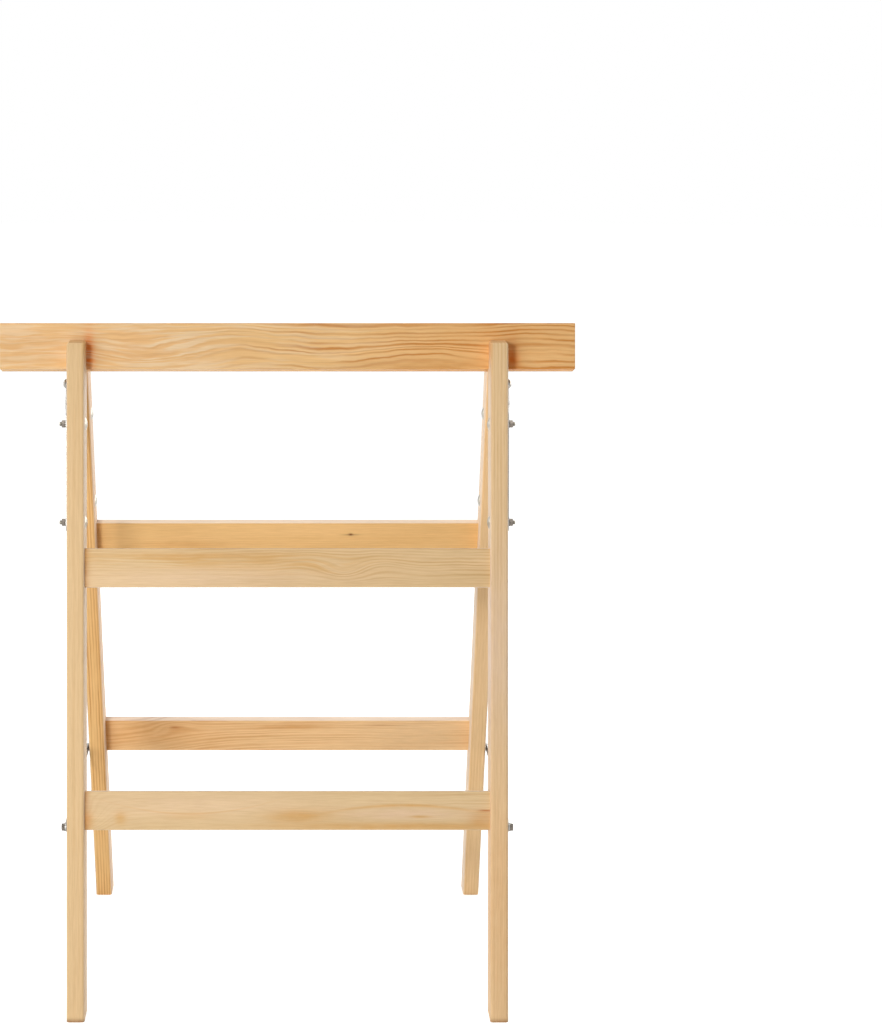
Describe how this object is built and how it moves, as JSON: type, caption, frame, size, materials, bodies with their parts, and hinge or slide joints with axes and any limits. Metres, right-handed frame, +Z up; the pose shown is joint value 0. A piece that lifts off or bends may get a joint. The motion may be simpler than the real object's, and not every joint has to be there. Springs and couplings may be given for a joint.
{
  "type": "folding trestle",
  "caption": "Folding pine trestle: two ladder frames hinged under a beam on edge and held open by folding steel stays, to carry a board, table top or work piece.",
  "frame": {"origin": "floor level, under the middle of the beam", "axes": "+X along the beam to the right, front frame at -Y, +Z up"},
  "size_m": [0.646, 0.4456, 0.75],
  "materials": {
    "beam_pine": "planed pine, unvarnished, strong grain",
    "leg_pine": "planed pine, unvarnished, fine straight grain",
    "rail_pine": "planed pine, unvarnished",
    "strap_steel": "zinc-plated strip steel, satin",
    "fastener_steel": "bright zinc plate",
    "rivet_steel": "polished zinc plate"
  },
  "bodies": {
    "front_frame": {"top_beam": "beam_pine", "beam_screws": "fastener_steel", "front_upper_rail": "rail_pine", "front_lower_rail": "rail_pine", "front_left_leg": "leg_pine", "front_left_hinge_strap": "strap_steel", "front_left_hinge_bolts": "fastener_steel", "front_left_hinge_washers": "fastener_steel", "front_left_hinge_nuts": "fastener_steel", "front_left_stay_screw": "fastener_steel", "front_left_stay_washers": "fastener_steel", "front_right_leg": "leg_pine", "front_right_hinge_strap": "strap_steel", "front_right_hinge_bolts": "fastener_steel", "front_right_hinge_washers": "fastener_steel", "front_right_hinge_nuts": "fastener_steel", "front_right_stay_screw": "fastener_steel", "front_right_stay_washers": "fastener_steel", "left_hinge_rivet": "rivet_steel", "right_hinge_rivet": "rivet_steel"},
    "rear_frame": {"rear_upper_rail": "rail_pine", "rear_lower_rail": "rail_pine", "rear_left_leg": "leg_pine", "rear_left_hinge_strap": "strap_steel", "rear_left_hinge_bolts": "fastener_steel", "rear_left_hinge_washers": "fastener_steel", "rear_left_hinge_nuts": "fastener_steel", "rear_left_stay_screw": "fastener_steel", "rear_left_stay_washers": "fastener_steel", "rear_right_leg": "leg_pine", "rear_right_hinge_strap": "strap_steel", "rear_right_hinge_bolts": "fastener_steel", "rear_right_hinge_washers": "fastener_steel", "rear_right_hinge_nuts": "fastener_steel", "rear_right_stay_screw": "fastener_steel", "rear_right_stay_washers": "fastener_steel"},
    "front_left_stay": {"front_left_stay_link": "strap_steel"},
    "front_right_stay": {"front_right_stay_link": "strap_steel"},
    "rear_left_stay": {"rear_left_stay_link": "strap_steel", "left_stay_rivet": "rivet_steel"},
    "rear_right_stay": {"rear_right_stay_link": "strap_steel", "right_stay_rivet": "rivet_steel"}
  },
  "joints": [
    {"name": "fold", "type": "hinge", "parent": "front_frame", "child": "rear_frame", "pos_m": [0, 0, 0.68148], "axis": [-1, 0, 0], "range_deg": [0, 29]},
    {"name": "front_left_stay_turn", "type": "hinge", "parent": "front_frame", "child": "front_left_stay", "pos_m": [-0.24575, -0.15699, 0.20666], "axis": [1, 0, 0], "range_deg": [0, 63.34]},
    {"name": "front_right_stay_turn", "type": "hinge", "parent": "front_frame", "child": "front_right_stay", "pos_m": [0.24575, -0.15699, 0.20666], "axis": [1, 0, 0], "range_deg": [0, 63.34]},
    {"name": "rear_left_stay_turn", "type": "hinge", "parent": "rear_frame", "child": "rear_left_stay", "pos_m": [-0.24575, 0.15699, 0.20666], "axis": [-1, 0, 0], "range_deg": [0, 63.34]},
    {"name": "rear_right_stay_turn", "type": "hinge", "parent": "rear_frame", "child": "rear_right_stay", "pos_m": [0.24575, 0.15699, 0.20666], "axis": [-1, 0, 0], "range_deg": [0, 63.34]}
  ],
  "couplings": [
    {"joint": "front_left_stay_turn", "follows": "fold", "ratio": 2.1837},
    {"joint": "front_right_stay_turn", "follows": "fold", "ratio": 2.1837},
    {"joint": "rear_left_stay_turn", "follows": "fold", "ratio": 2.1837},
    {"joint": "rear_right_stay_turn", "follows": "fold", "ratio": 2.1837}
  ]
}
